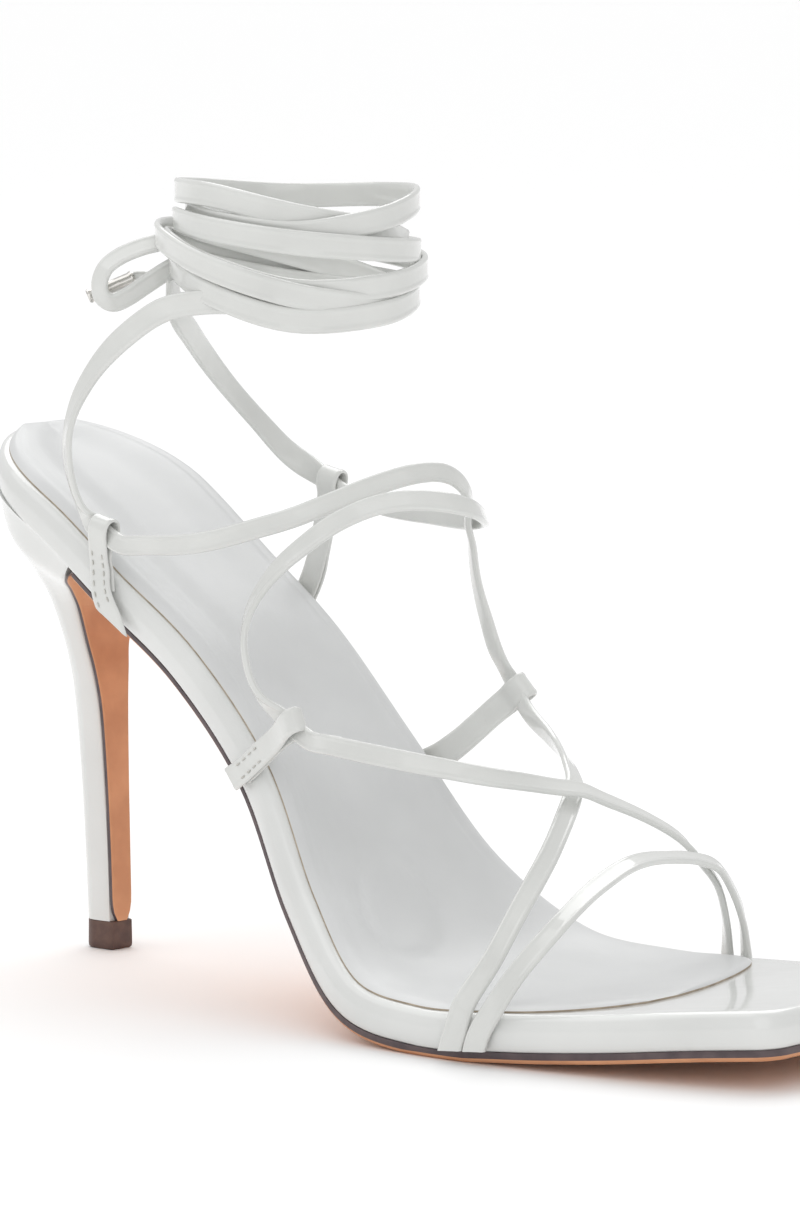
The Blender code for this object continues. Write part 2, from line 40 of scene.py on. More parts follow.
# the platform's solid starts at this station of the tables
FIRST_STATION = 0.5
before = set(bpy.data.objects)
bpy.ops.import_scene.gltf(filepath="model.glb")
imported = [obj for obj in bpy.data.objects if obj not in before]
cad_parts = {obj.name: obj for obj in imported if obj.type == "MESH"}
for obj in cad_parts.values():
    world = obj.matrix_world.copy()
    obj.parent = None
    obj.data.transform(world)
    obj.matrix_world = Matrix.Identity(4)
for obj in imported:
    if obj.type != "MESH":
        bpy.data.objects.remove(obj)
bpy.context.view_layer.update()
platform_low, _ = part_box("platform")
tip_low, tip_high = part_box("heel_tip")
HEEL_BACK = Vector((platform_low.x - FIRST_STATION * MM, (tip_low.y + tip_high.y) / 2, 0))


def at(point):
    """Metres in the frame, from millimetres measured from the heel's back."""
    return HEEL_BACK + Vector(point) * MM


print("solids", len(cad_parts), "heel back at", [round(v, 4) for v in HEEL_BACK])

# %% [markdown]
# ## Camera
# A long lens from well back keeps the sandal's lines nearly parallel, as a product photographer does. The
# turn and rise were found by fitting the sole's edges. The lens is given for a frame 800 wide and 1209
# high, where Blender's 36 mm sensor lies along the height.

# %% Camera
TURN, RISE = math.radians(42.42), math.radians(8.76)
CAMERA_DISTANCE, LENS = 1300.0, 194.4
FOCUS = Vector((110, 0, 50))
AIM_LEFT, AIM_UP = 4.8, 29.8
right = Vector((math.cos(TURN), math.sin(TURN), 0))
back = Vector((math.sin(TURN) * math.cos(RISE), -math.cos(TURN) * math.cos(RISE), math.sin(RISE)))
up = back.cross(right)
aim = FOCUS - right * AIM_LEFT + up * AIM_UP
camera = bpy.data.objects.new("camera", bpy.data.cameras.new("camera"))
camera.data.lens = LENS
camera.location = at(FOCUS + back * CAMERA_DISTANCE)
camera.rotation_euler = (at(aim) - camera.location).to_track_quat("-Z", "Y").to_euler()
bpy.context.scene.collection.objects.link(camera)
bpy.context.scene.camera = camera
print("camera", [round(v, 3) for v in camera.location])

# %% [markdown]
# ## Finishes
# Each finish is one Principled shader with its own pattern. Patent leather is a smooth hide under a thick
# clear lacquer: the lacquer gives sharp highlights, and the hide's slow waves below it bend them. The
# sock is nearly the same colour without the lacquer, so it is softer and shows a fine grain. The outsole is
# vegetable-tanned leather, matt and a little streaky, with its cut edge painted dark. All patterns read
# Object coordinates.

# %% Small helpers for materials
PATCH_LOW, PATCH_HIGH = 0.35, 0.65


def linear(code):
    """Linear colour from an sRGB hex value."""
    parts = [int(code[i:i + 2], 16) / 255 for i in (1, 3, 5)]
    return [c / 12.92 if c <= 0.04045 else ((c + 0.055) / 1.055) ** 2.4 for c in parts] + [1.0]


def add(material, kind, sockets):
    """A node, with each socket fed by a value or by another node's output."""
    tree = material.node_tree
    node = tree.nodes.new(kind)
    for key, value in sockets.items():
        if isinstance(value, bpy.types.NodeSocket):
            tree.links.new(value, node.inputs[key])
        else:
            node.inputs[key].default_value = value
    return node


def noise_field(material, place, size_mm, detail):
    """Noise output whose patches are about this large."""
    sockets = {"Vector": place, "Scale": 1 / (size_mm * MM), "Detail": detail}
    return add(material, "ShaderNodeTexNoise", sockets).outputs["Fac"]


def surface(name, pale, deep, mottle_mm, grain_mm, grain_depth_mm, wave_mm, wave_depth_mm, **sockets):
    """A finish with two close colours in soft patches, slow waves and a fine grain on them."""
    material = bpy.data.materials.new(name)
    material.use_nodes = True
    shader = material.node_tree.nodes["Principled BSDF"]
    for key, value in sockets.items():
        shader.inputs[key.replace("_", " ")].default_value = value
    place = add(material, "ShaderNodeTexCoord", {}).outputs["Object"]
    patches = noise_field(material, place, mottle_mm, 3.0)
    ramp = add(material, "ShaderNodeValToRGB", {"Fac": patches})
    first, last = ramp.color_ramp.elements
    first.position, last.position = PATCH_LOW, PATCH_HIGH
    first.color, last.color = linear(deep), linear(pale)
    material.node_tree.links.new(ramp.outputs["Color"], shader.inputs["Base Color"])
    waves = noise_field(material, place, wave_mm, 1.0)
    grain = noise_field(material, place, grain_mm, 2.0)
    wave_sockets = {"Height": waves, "Strength": 1.0, "Distance": wave_depth_mm * MM}
    slow = add(material, "ShaderNodeBump", wave_sockets).outputs["Normal"]
    grain_sockets = {"Height": grain, "Strength": 1.0, "Distance": grain_depth_mm * MM, "Normal": slow}
    fine = add(material, "ShaderNodeBump", grain_sockets).outputs["Normal"]
    material.node_tree.links.new(fine, shader.inputs["Normal"])
    return material


# %% Finishes
# lacquered hide: bright sharp highlights over a soft white
patent = surface(
    "white_patent_leather", "#dfe0de", "#d8d9d7", mottle_mm=26, grain_mm=0.7, grain_depth_mm=0.006,
    wave_mm=7.0, wave_depth_mm=0.05, Roughness=0.22, IOR=1.5, Coat_Weight=0.8, Coat_Roughness=0.04)
# the same hide rolled thin round a strap: tighter waves
strap_patent = surface(
    "white_strap_leather", "#dadbd8", "#d2d3d0", mottle_mm=18, grain_mm=0.6, grain_depth_mm=0.008,
    wave_mm=4.0, wave_depth_mm=0.05, Roughness=0.2, IOR=1.5, Coat_Weight=0.8, Coat_Roughness=0.05)
# smooth lining leather over foam: a soft sheen and pores, drawn 0.8 mm apart so that they show
sock_leather = surface(
    "white_sock_leather", "#d5d6d6", "#cecfcf", mottle_mm=30, grain_mm=0.8, grain_depth_mm=0.02,
    wave_mm=11.0, wave_depth_mm=0.10, Roughness=0.36, IOR=1.46)
# vegetable-tanned outsole leather: matt, warm and slightly streaked
tan_leather = surface(
    "tan_outsole_leather", "#dba077", "#cb9069", mottle_mm=9, grain_mm=0.5, grain_depth_mm=0.02,
    wave_mm=3.0, wave_depth_mm=0.03, Roughness=0.5, IOR=1.46)
# several coats of edge paint: satin, a little uneven
edge_paint = surface(
    "dark_edge_paint", "#5d4f50", "#4b3f42", mottle_mm=4, grain_mm=0.5, grain_depth_mm=0.03,
    wave_mm=2.0, wave_depth_mm=0.05, Roughness=0.38, IOR=1.5)
# raw cut edge of the sock's leather, seen as a thin warm line
raw_edge = surface(
    "raw_leather_edge", "#b8aa97", "#9c8e7c", mottle_mm=3, grain_mm=0.4, grain_depth_mm=0.02,
    wave_mm=2.0, wave_depth_mm=0.02, Roughness=0.6, IOR=1.46)
# moulded hard rubber of the top piece
hard_rubber = surface(
    "brown_top_piece_rubber", "#63493f", "#513a34", mottle_mm=2.5, grain_mm=0.35, grain_depth_mm=0.03,
    wave_mm=1.5, wave_depth_mm=0.03, Roughness=0.5, IOR=1.5)
# polished plated brass of the lace's tip
plated_metal = surface(
    "polished_plated_brass", "#d9d7d3", "#c9c6c1", mottle_mm=3, grain_mm=0.4, grain_depth_mm=0.002,
    wave_mm=2.0, wave_depth_mm=0.01, Roughness=0.16, Metallic=1.0)
# bonded sewing thread
thread = surface(
    "white_sewing_thread", "#cfcec8", "#bdbcb5", mottle_mm=1.5, grain_mm=0.3, grain_depth_mm=0.03,
    wave_mm=0.8, wave_depth_mm=0.03, Roughness=0.5, IOR=1.5)
print("finishes", len(bpy.data.materials))

# %% [markdown]
# ## Laying a grid
# Nearly every piece of a shoe is a sheet bent round something. So one grid, made by an operator, is laid
# over rings of points, sewn along its seam and closed at its ends. The grid keeps its even quads, so the
# highlights run smoothly, and its UV map follows the piece.

# %% Grid and piece helpers
SEAM, SLIVER = 0.002 * MM, 0.001 * MM


def lay_grid(bm, rings, wrap=True, material=0):
    """A grid laid over rings of points; with wrap, each ring is a closed loop."""
    along, around = len(rings) - 1, len(rings[0]) - (0 if wrap else 1)
    made = bmesh.ops.create_grid(bm, x_segments=along, y_segments=around, size=1.0, calc_uvs=True)
    for vert in made["verts"]:
        i = round((vert.co.x + 1) / 2 * along)
        j = round((vert.co.y + 1) / 2 * around)
        vert.co = rings[i][j % len(rings[i])]
        for face in vert.link_faces:
            face.material_index = material


def new_sheet():
    """An empty mesh with a UV map."""
    bm = bmesh.new()
    bm.loops.layers.uv.new("UVMap")
    return bm


def sew(bm):
    """Merge seams, close open ends and turn the faces outwards."""
    bmesh.ops.remove_doubles(bm, verts=bm.verts, dist=SEAM)
    bmesh.ops.dissolve_degenerate(bm, edges=bm.edges, dist=SLIVER)
    bmesh.ops.holes_fill(bm, edges=[edge for edge in bm.edges if edge.is_boundary], sides=0)
    if bm.calc_volume(signed=True) < 0:
        bmesh.ops.reverse_faces(bm, faces=bm.faces)


def piece(name, bm, materials, nodes=(), sharp=50):
    """A finished piece of the sandal and the solids that it stands for."""
    mesh = bpy.data.meshes.new(name)
    bm.to_mesh(mesh)
    bm.free()
    mesh.shade_smooth()
    mesh.set_sharp_from_angle(angle=math.radians(sharp))
    for material in materials:
        mesh.materials.append(material)
    obj = bpy.data.objects.new(name, mesh)
    bpy.context.scene.collection.objects.link(obj)
    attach(obj, "root")
    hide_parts(*nodes)
    print(name, len(mesh.polygons), "faces")
    return obj


def curve_through(knots, rows, places):
    """Cubic through a table's rows, each row's slope taken from its neighbours."""
    slopes = np.gradient(rows, knots, axis=0)
    i = np.clip(np.searchsorted(knots, places) - 1, 0, len(knots) - 2)
    span = knots[i + 1] - knots[i]
    t = (places - knots[i]) / span
    if rows.ndim > 1:
        t, span = t[:, None], span[:, None]
    start = (1 + 2 * t) * (1 - t) ** 2 * rows[i] + t * (1 - t) ** 2 * span * slopes[i]
    return start + t * t * (3 - 2 * t) * rows[i + 1] - t * t * (1 - t) * span * slopes[i + 1]


# %% [markdown]
# ## Straps
# A strap is a thin strip of patent folded round a core, so its edges are round and its face is slightly
# hollow. It is swept along a route. Its face looks away from the foot's core line, or the way that a row
# says. Where two straps cross, the upper one is lifted and the lower one pressed in.

# %% Strap helpers
CORE = np.array([
    (74.0, 0.0, 190.0), (74.0, 0.0, 125.0), (95.0, 0.0, 75.0), (125.0, 0.0, 36.0), (150.0, 0.0, 16.0),
    (216.0, 0.0, 10.0),
])
LACE_WIDTH, LACE_THICK = 4.1, 1.6
CROSSING_SPREAD = 5.0
FOOT_SPREAD, FOOT_REACH = 0.9, 13.0
TRIM_RISE = 0.02
FEWEST_ROWS, ROUTE_EASE, FACE_EASE = 6, 2, 3
# rolled edge: how square the section is across and up, then the hollow of its face in shares of the section
SQUARE_ACROSS, SQUARE_UP = 0.62, 0.75
HOLLOW, HOLLOW_HALF, HOLLOW_EASE = 0.15, 0.5, 0.24
# slow changes of height and width, each with its pitch per row
RIPPLE, RIPPLE_PITCH = 0.08, 0.11
DRIFT, DRIFT_PITCH, DRIFT_SEED = 0.03, 0.07, 5.0


def out_of_foot(point):
    """Unit vector from the nearest point of the foot's core line."""
    point = np.array(point, float)
    best = None
    for low, high in zip(CORE, CORE[1:]):
        run = high - low
        share = np.clip(np.dot(point - low, run) / np.dot(run, run), 0, 1)
        out = point - (low + run * share)
        if best is None or np.linalg.norm(out) < np.linalg.norm(best):
            best = out
    return tuple(best / np.linalg.norm(best))


def eased(values, reach):
    """Running mean over a reach of rows on either side, with the ends kept."""
    padded = np.pad(values, ((reach, reach), (0, 0)), mode="reflect", reflect_type="odd")
    window = np.ones(2 * reach + 1) / (2 * reach + 1)
    return np.stack([np.convolve(padded[:, k], window, mode="valid") for k in range(values.shape[1])], 1)


def unit(rows):
    return rows / np.linalg.norm(rows, axis=1, keepdims=True)


def strap_frames(route, step=1.0, crossings=()):
    """Centre, face and width directions along a route, one row about every step."""
    points = np.array([row[:3] for row in route], float)
    faces = np.array([row[4:] or out_of_foot(row[:3]) for row in route], float)
    turns = np.radians([row[3] for row in route])
    along = np.concatenate([[0], np.cumsum(np.linalg.norm(np.diff(points, axis=0), axis=1))])
    places = np.linspace(0, along[-1], max(FEWEST_ROWS, round(along[-1] / step)) + 1)
    centre = eased(curve_through(along, points, places), ROUTE_EASE)
    travel = unit(np.gradient(centre, axis=0))
    face = eased(np.stack([np.interp(places, along, faces[:, k]) for k in range(3)], 1), FACE_EASE)
    face = unit(face - travel * (face * travel).sum(1, keepdims=True))
    turn = eased(np.interp(places, along, turns)[:, None], FACE_EASE)
    face = face * np.cos(turn) + np.cross(travel, face) * np.sin(turn)
    for x, y, z, lift in crossings:
        gap = np.linalg.norm(centre - (x, y, z), axis=1)
        centre = centre + face * (lift * np.exp(-(gap / CROSSING_SPREAD) ** 2))[:, None]
    return centre, face, np.cross(travel, face)


def step_up(value):
    """Smooth step from 0 to 1."""
    value = min(1.0, max(0.0, value))
    return value * value * (3 - 2 * value)


def strap_rings(frames, width, thick, seed, around=30):
    """Sections with rolled edges and a hollow face, changing slowly so that no highlight runs straight."""
    rings = []
    widths = np.broadcast_to(width, len(frames[0]))
    for i, (centre, face, across) in enumerate(zip(*frames)):
        ripple = noise.noise(Vector((i * RIPPLE_PITCH, seed, 0.0)))
        drift = noise.noise(Vector((i * DRIFT_PITCH, seed, DRIFT_SEED)))
        half = widths[i] / 2 * (1 + DRIFT * drift)
        ring = []
        for j in range(around):
            angle = math.tau * (j + 0.5) / around
            side = math.copysign(abs(math.cos(angle)) ** SQUARE_ACROSS, math.cos(angle))
            rise = math.copysign(abs(math.sin(angle)) ** SQUARE_UP, math.sin(angle))
            inward = 1 - step_up((abs(side) - HOLLOW_HALF) / HOLLOW_EASE)
            hollow = HOLLOW * thick * inward if rise > 0 else 0.0
            depth = thick / 2 * rise - hollow + RIPPLE * ripple
            ring.append(at(centre + across * (half * side) + face * depth))
        rings.append(ring)
    return rings


def trim(bm, place, upward):
    """Cut off what lies below a plane, as a maker trims a strap at the feather line."""
    everything = list(bm.verts) + list(bm.edges) + list(bm.faces)
    bmesh.ops.bisect_plane(bm, geom=everything, plane_co=place, plane_no=upward, clear_inner=True)


def strap(name, frames, nodes=(), width=LACE_WIDTH, thick=LACE_THICK, seed=0.0, feet=()):
    """A strap swept along its frames and trimmed at each station where it has a foot."""
    bm = new_sheet()
    lay_grid(bm, strap_rings(frames, width, thick, seed))
    for x in feet:
        trim(bm, at(on_sole(x, 0, TRIM_RISE)), sole_up(x))
    sew(bm)
    return piece(name, bm, [strap_patent], nodes)


def spread_at(frames, foot):
    """Lace widths along a route: the lace is pressed flat, and so wider, near its foot."""
    gap = np.linalg.norm(frames[0] - frames[0][foot], axis=1)
    return LACE_WIDTH + FOOT_SPREAD * np.exp(-(gap / FOOT_REACH) ** 2)


def length_of(points):
    return float(np.linalg.norm(np.diff(points, axis=0), axis=1).sum())


# %% [markdown]
# ## The tie
# The lace ends in a small bow at the outer back of the ankle: one loop stands out of the winding and goes
# back into it, and one end with a metal tip lies behind the loop. The loop is a free cord, so it is made
# first and its length is printed. The end and its tip are made with it.

# %% Bow loop, loose end and metal tip
TIE_LOOP = [
    (52.9, -16.4, 150.0, 32), (50.0, -19.0, 149.0, 32), (47.1, -21.8, 147.3, 34), (44.8, -24.0, 144.7, 38),
    (44.0, -24.7, 141.6, 40), (44.4, -24.4, 139.0, 38), (45.8, -23.0, 137.8, 32), (47.9, -21.0, 138.9, 28),
    (50.4, -18.6, 141.2, 28), (53.4, -15.8, 143.9, 28), (56.6, -12.8, 146.4, 28),
]
TIE_END = [(45.6, -16.5, 142.6, 0), (46.9, -15.3, 142.7, 0), (48.2, -14.2, 142.5, 0)]
END_WIDTH = 2.4
TIP_ENDS = ((39.0, -23.0, 138.7), (45.8, -16.4, 142.7))
TIP_RADIUS, TIP_SIDES = 1.5, 28
TIE_FACE = (0.667, -0.730, 0.15)

loop_frames = strap_frames([(*row, *TIE_FACE) for row in TIE_LOOP], step=0.5)
tie_loop = strap("bow_loop", loop_frames, ["tie_loop"], seed=1.0)
end_frames = strap_frames([(*row, *TIE_FACE) for row in TIE_END], step=0.5)
tie_end = strap("loose_end", end_frames, ["tie_end"], width=END_WIDTH, seed=2.0)

low_end, high_end = (Vector(end) for end in TIP_ENDS)
turn = (high_end - low_end).to_track_quat("Z", "Y").to_matrix()
TIP_LENGTH = (high_end - low_end).length
TIP_PROFILE = [
    # along, share of the radius: a rolled lip, a waist, a rolled lip and a recess at each end
    (0.5, 0.55), (0.0, 0.6), (0.0, 0.85), (0.25, 1.0), (0.7, 1.0), (0.95, 0.9),
    (TIP_LENGTH - 1.2, 0.9), (TIP_LENGTH - 0.9, 1.0), (TIP_LENGTH - 0.4, 1.0), (TIP_LENGTH, 0.8),
    (TIP_LENGTH, 0.55), (TIP_LENGTH - 0.4, 0.5),
]
spin = [math.tau * k / TIP_SIDES for k in range(TIP_SIDES)]
spokes = [Vector((math.cos(angle), math.sin(angle), 0)) for angle in spin]
rings = []
for along, share in TIP_PROFILE:
    ahead = Vector((0, 0, along))
    rings.append([at(low_end + turn @ (spoke * TIP_RADIUS * share + ahead)) for spoke in spokes])
bm = new_sheet()
lay_grid(bm, rings)
sew(bm)
tie_tip = piece("lace_tip", bm, [plated_metal], ["tie_tip"], sharp=35)

print("bow loop mm", round(length_of(loop_frames[0]), 1), "loose end mm", round(length_of(end_frames[0]), 1))

# %% [markdown]
# ## The sole's shape
# The platform, sock and outsole share one table. Each station has the half width on either side, the
# height of the feather line and the outsole's thickness. Near the heel's back and the toe's corners a
# point that lies inside the edge moves along the outline's own normal, so walls and rims stay even all
# the way round.

# %% Sole table and its readers
LENGTH, HEEL_ROUND, TOE_RADIUS, PLATFORM_THICK = 220.0, 25.0, 4.0, 7.0
UPRIGHT_BACK = 30.0
WALL_BULGE, GAP = 0.4, 0.3
STATION_STEP, HEEL_DEGREES, TOE_DEGREES, TOE_COLUMNS = 2.0, 4, 10, 12
OUTER, INNER, HEIGHT, OUTSOLE = 1, 2, 3, 4
SOLE = np.array([
    # x     outer  inner  height  outsole
    (0.0,   25.8,  22.9,  102.2,  1.4),
    (25.0,  25.8,  22.9,  90.4,   1.4),
    (45.0,  26.1,  21.6,  77.2,   1.4),
    (65.0,  25.4,  20.4,  63.6,   1.4),
    (85.0,  26.6,  20.3,  44.4,   1.4),
    (105.0, 34.4,  24.0,  21.4,   1.4),
    (125.0, 41.6,  32.3,  6.0,    1.8),
    (145.0, 42.4,  39.0,  2.3,    2.2),
    (165.0, 39.9,  41.6,  3.2,    2.2),
    (185.0, 35.4,  39.2,  5.0,    2.2),
    (205.0, 29.5,  34.5,  7.3,    2.2),
    (220.0, 23.4,  29.5,  8.6,    2.2),
])


def read(column, x, first=0):
    """One column of the sole's table at a station."""
    return float(curve_through(SOLE[first:, 0], SOLE[first:, column], np.array([x]))[0])


def feather(x):
    """Height of the feather line, where the wall meets the outsole."""
    return read(HEIGHT, max(0.0, x))


def sole_up(x):
    """Direction out of the sole's slope, read over 1 mm; at the very back the wall stands upright."""
    slope = feather(x + 0.5) - feather(x - 0.5) if x > 0.5 else feather(1.0) - feather(0.0)
    lean = min(1.0, x / UPRIGHT_BACK)
    return Vector((-slope * lean, 0, 1)).normalized()


def rim(x, side, inset):
    """Plan point that lies this far inside the outline, at the station where the outline itself has x."""
    column = OUTER if side < 0 else INNER
    if x < HEEL_ROUND:
        half = SOLE[1, column]
        cosine = (HEEL_ROUND - x) / HEEL_ROUND
        return x + inset * cosine, side * (half - inset) * math.sqrt(max(0.0, 1 - cosine * cosine))
    half = read(column, x, first=1)
    past = x - (LENGTH - TOE_RADIUS)
    if past <= 0:
        return x, side * (half - inset)
    sine = min(1.0, past / TOE_RADIUS)
    corner = TOE_RADIUS - inset
    across = half - TOE_RADIUS + corner * math.sqrt(1 - sine * sine)
    return LENGTH - TOE_RADIUS + corner * sine, side * across


def on_sole(x, y, rise):
    """A point this far out of the sole's slope."""
    return Vector((x, y, feather(x))) + sole_up(x) * rise


def fine_stations(first, last):
    """Even stations along the sole, closer where the outline turns."""
    toe_start = LENGTH - TOE_RADIUS
    count = math.ceil((toe_start - HEEL_ROUND) / STATION_STEP)
    heel = [HEEL_ROUND * (1 - math.cos(math.radians(a))) for a in range(0, 90, HEEL_DEGREES)]
    middle = [HEEL_ROUND + STATION_STEP * i for i in range(count)]
    toe = [toe_start + TOE_RADIUS * math.sin(math.radians(a)) for a in range(0, 91, TOE_DEGREES)]
    return [x for x in heel + middle + toe if first <= x <= last]


def sole_skin(bm, stations, profile, middle):
    """Rings round the sole: a profile of (inset, rise) for each wall, joined above and below."""
    rings = []
    for x in stations:
        walls = {}
        for side in (-1, 1):
            walls[side] = [(rim(x, side, inset), rise) for inset, rise in profile(x)]
        ring = [((px, py), rise) for (px, py), rise in walls[-1]]
        (top_x, low_y), top = walls[-1][-1]
        (_, high_y), _ = walls[1][-1]
        ring += [((top_x, low_y + (high_y - low_y) * share), top) for share in middle]
        ring += list(reversed(walls[1]))
        (foot_x, low_y), foot = walls[-1][0]
        (_, high_y), _ = walls[1][0]
        ring += [((foot_x, high_y + (low_y - high_y) * share), foot) for share in middle]
        rings.append([at(on_sole(px, py, rise)) for (px, py), rise in ring])
    lay_grid(bm, rings)
    last, count = rings[-1], len(profile(stations[-1]))
    opposite = [last[2 * count + len(middle) - 1 - j] for j in range(count)]
    shares = [k / TOE_COLUMNS for k in range(TOE_COLUMNS + 1)]
    front = [[near.lerp(far, share) for near, far in zip(last[:count], opposite)] for share in shares]
    lay_grid(bm, front, wrap=False)


print("forefoot width", round(max(SOLE[:, OUTER] + SOLE[:, INNER]), 1), "mm")

# %% [markdown]
# ## Platform
# The insole board is wrapped in patent. Its wall is slightly full, tucks in at the feather line and turns
# over a tight rim into the flat top, which shows beyond the sock at the toe.

# %% Platform
RIM_ROUND = 2.1
WALL_FOOT = [(0.6, -0.25), (0.15, 0.1)]
WALL_SHARES, RIM_ANGLES = (0.12, 0.25, 0.38, 0.5, 0.6), (10, 25, 40, 55, 70, 80, 90)
ACROSS = [0.08, 0.2, 0.35, 0.5, 0.65, 0.8, 0.92]


def platform_profile(_):
    """The same wall at every station: tucked foot, full side, round rim."""
    wall = list(WALL_FOOT)
    for share in WALL_SHARES:
        wall.append((-WALL_BULGE * math.sin(math.pi * share), PLATFORM_THICK * share))
    for angle in RIM_ANGLES:
        turn_in = RIM_ROUND * (1 - math.cos(math.radians(angle)))
        wall.append((turn_in, PLATFORM_THICK - RIM_ROUND * (1 - math.sin(math.radians(angle)))))
    return wall


bm = new_sheet()
sole_skin(bm, fine_stations(0.0, LENGTH), platform_profile, ACROSS)
sew(bm)
piece("wrapped_platform", bm, [patent], ["platform"])

# %% [markdown]
# ## Outsole
# A sole maker cuts the outsole from a bend of tanned leather, skives it thin under the arch and paints
# its cut edge. Below the paint a narrow bevel shows the bare leather. Every face that doesn't look down
# takes the paint, so the paint line follows an edge of the mesh.

# %% Outsole
OUTSOLE_INSET, BEVEL_SHARE, OUTSOLE_START = 0.4, 0.4, 36.4
LIP, LIP_RISE, LIP_EASE = 4.0, -0.27, (0.1, -0.35)
# the bevel's first break, its long slope and its reach below
BREAK_IN, BREAK_UP, SLOPE_IN, SLOPE_UP, BEVEL_REACH = 0.12, 0.8, 0.9, 0.08, 1.2
TREAD_FROM, EDGE_LEAN = 120.0, 0.35


def outsole_profile(x):
    """Upper lip, painted edge and bevel; on the tread the leather stops at the floor."""
    thick = read(OUTSOLE, x)
    bevel = BEVEL_SHARE * thick
    low = -GAP - thick
    floor_stop = -max(0.0, feather(x)) if x > TREAD_FROM else low
    low = max(low, floor_stop)
    edge = [(LIP, LIP_RISE), (LIP_EASE[0], LIP_RISE), (0.0, LIP_EASE[1]), (0.0, low + bevel)]
    edge += [(BREAK_IN, low + bevel * BREAK_UP), (bevel * SLOPE_IN, low + SLOPE_UP)]
    edge.append((bevel * BEVEL_REACH, low))
    return [(OUTSOLE_INSET + inset, rise) for inset, rise in edge]


bm = new_sheet()
sole_skin(bm, fine_stations(OUTSOLE_START, LENGTH), outsole_profile, ACROSS)
sew(bm)
for face in bm.faces:
    middle_point = face.calc_center_median() - HEEL_BACK
    if abs(face.normal.z) < EDGE_LEAN or face.normal.dot(sole_up(middle_point.x / MM)) > -EDGE_LEAN:
        face.material_index = 1
piece("leather_outsole", bm, [tan_leather, edge_paint], ["outsole"])

# %% [markdown]
# ## Sock
# The sock is thin leather over foam, glued into the platform and cut in a curve under the toes. Its foam
# is fuller along the sides, hollow under the heel, and a stamped oval marks the pad under the ball. The
# height is worked out from the distance to the edge, and the thin cut edge keeps its raw colour.

# %% Padded sock
SOCK_INSET, SOCK_EDGE, SOCK_CROWN = 1.8, 0.34, 2.3
SOCK_FRONT = np.array([
    # x     outer  inner
    (150.0, 40.2,  37.9),
    (158.0, 39.0,  38.2),
    (164.0, 37.9,  36.8),
    (170.0, 35.9,  30.5),
    (175.0, 33.0,  21.5),
    (179.5, 29.0,  11.0),
    (183.0, 24.2,  0.5),
    (185.2, 18.6,  -9.5),
])
FRONT_START, FRONT_STEP, SOCK_TIP = 150.0, 1.5, 185.2
SOCK_COLUMNS, LEAST_FOAM, EDGE_ROLL = 60, 0.25, 5.0
# the crown and the cupped middle fade towards the toe: share lost, where it starts, and over what length
CROWN_FADE, CUP_FADE = (0.5, 70.0, 45.0), (0.75, 75.0, 45.0)
CUP_DEPTH, CUP_EDGE, CUP_SLOPE = 1.3, 6.0, 11.0
# outer crease: depth, middle, length, distance from the edge, width
CREASE = (0.35, 66.0, 40.0, 5.5, 1.3)
# seam line inside the edge: depth, where it fades and over what length, distance from the edge, width
SEAM_LINE = (0.28, 95.0, 20.0, 4.2, 0.8)
# heel hollow: depth, middle, length, width
HEEL_HOLLOW = (0.4, 26.0, 15.0, 12.0)
# ball pad: middle, half length and half width; then its turn, height, steepness, and the groove round it
BALL_PAD, PAD_TILT = (111.5, -14.5, 13.5, 8.5), math.radians(-44)
PAD_HEIGHT, PAD_STEEP, GROOVE_DEPTH, GROOVE_WIDE = 0.35, 14.0, 0.4, 0.09


def sock_sides(x):
    """Plan points of the sock's two edges at a station."""
    if x < FRONT_START:
        return rim(x, -1, SOCK_INSET), rim(x, 1, SOCK_INSET)
    reach = curve_through(SOCK_FRONT[:, 0], SOCK_FRONT[:, 1:], np.array([x]))[0]
    return (x, -float(reach[0])), (x, float(reach[1]))


def sock_height(x, y, edge_gap, outer_gap, inner_gap):
    """Foam under the leather: rolled edge, cupped middle, crease, seam line, heel hollow and ball pad."""
    lost, start, over = CROWN_FADE
    crown = SOCK_CROWN * (1 - lost * step_up((x - start) / over))
    height = SOCK_EDGE + (crown - SOCK_EDGE) * (1 - (1 - min(1.0, edge_gap / EDGE_ROLL)) ** 3)
    lost, start, over = CUP_FADE
    cupped = 1 - lost * step_up((x - start) / over)
    height -= CUP_DEPTH * cupped * step_up((min(outer_gap, inner_gap) - CUP_EDGE) / CUP_SLOPE)
    depth, middle, length, gap, wide = CREASE
    height -= depth * math.exp(-((x - middle) / length) ** 2 - ((outer_gap - gap) / wide) ** 2)
    depth, start, over, gap, wide = SEAM_LINE
    kept = 1 - step_up((x - start) / over)
    height -= depth * kept * math.exp(-((min(inner_gap, edge_gap + 1) - gap) / wide) ** 2)
    depth, middle, length, wide = HEEL_HOLLOW
    height -= depth * math.exp(-((x - middle) / length) ** 2 - (y / wide) ** 2)
    pad_x, pad_y, long, wide = BALL_PAD
    ahead = (x - pad_x) * math.cos(PAD_TILT) + (y - pad_y) * math.sin(PAD_TILT)
    aside = (y - pad_y) * math.cos(PAD_TILT) - (x - pad_x) * math.sin(PAD_TILT)
    oval = math.hypot(ahead / long, aside / wide)
    groove = GROOVE_DEPTH * math.exp(-((oval - 1) / GROOVE_WIDE) ** 2)
    height += PAD_HEIGHT / (1 + math.exp((oval - 1) * PAD_STEEP)) - groove
    return max(LEAST_FOAM, height)


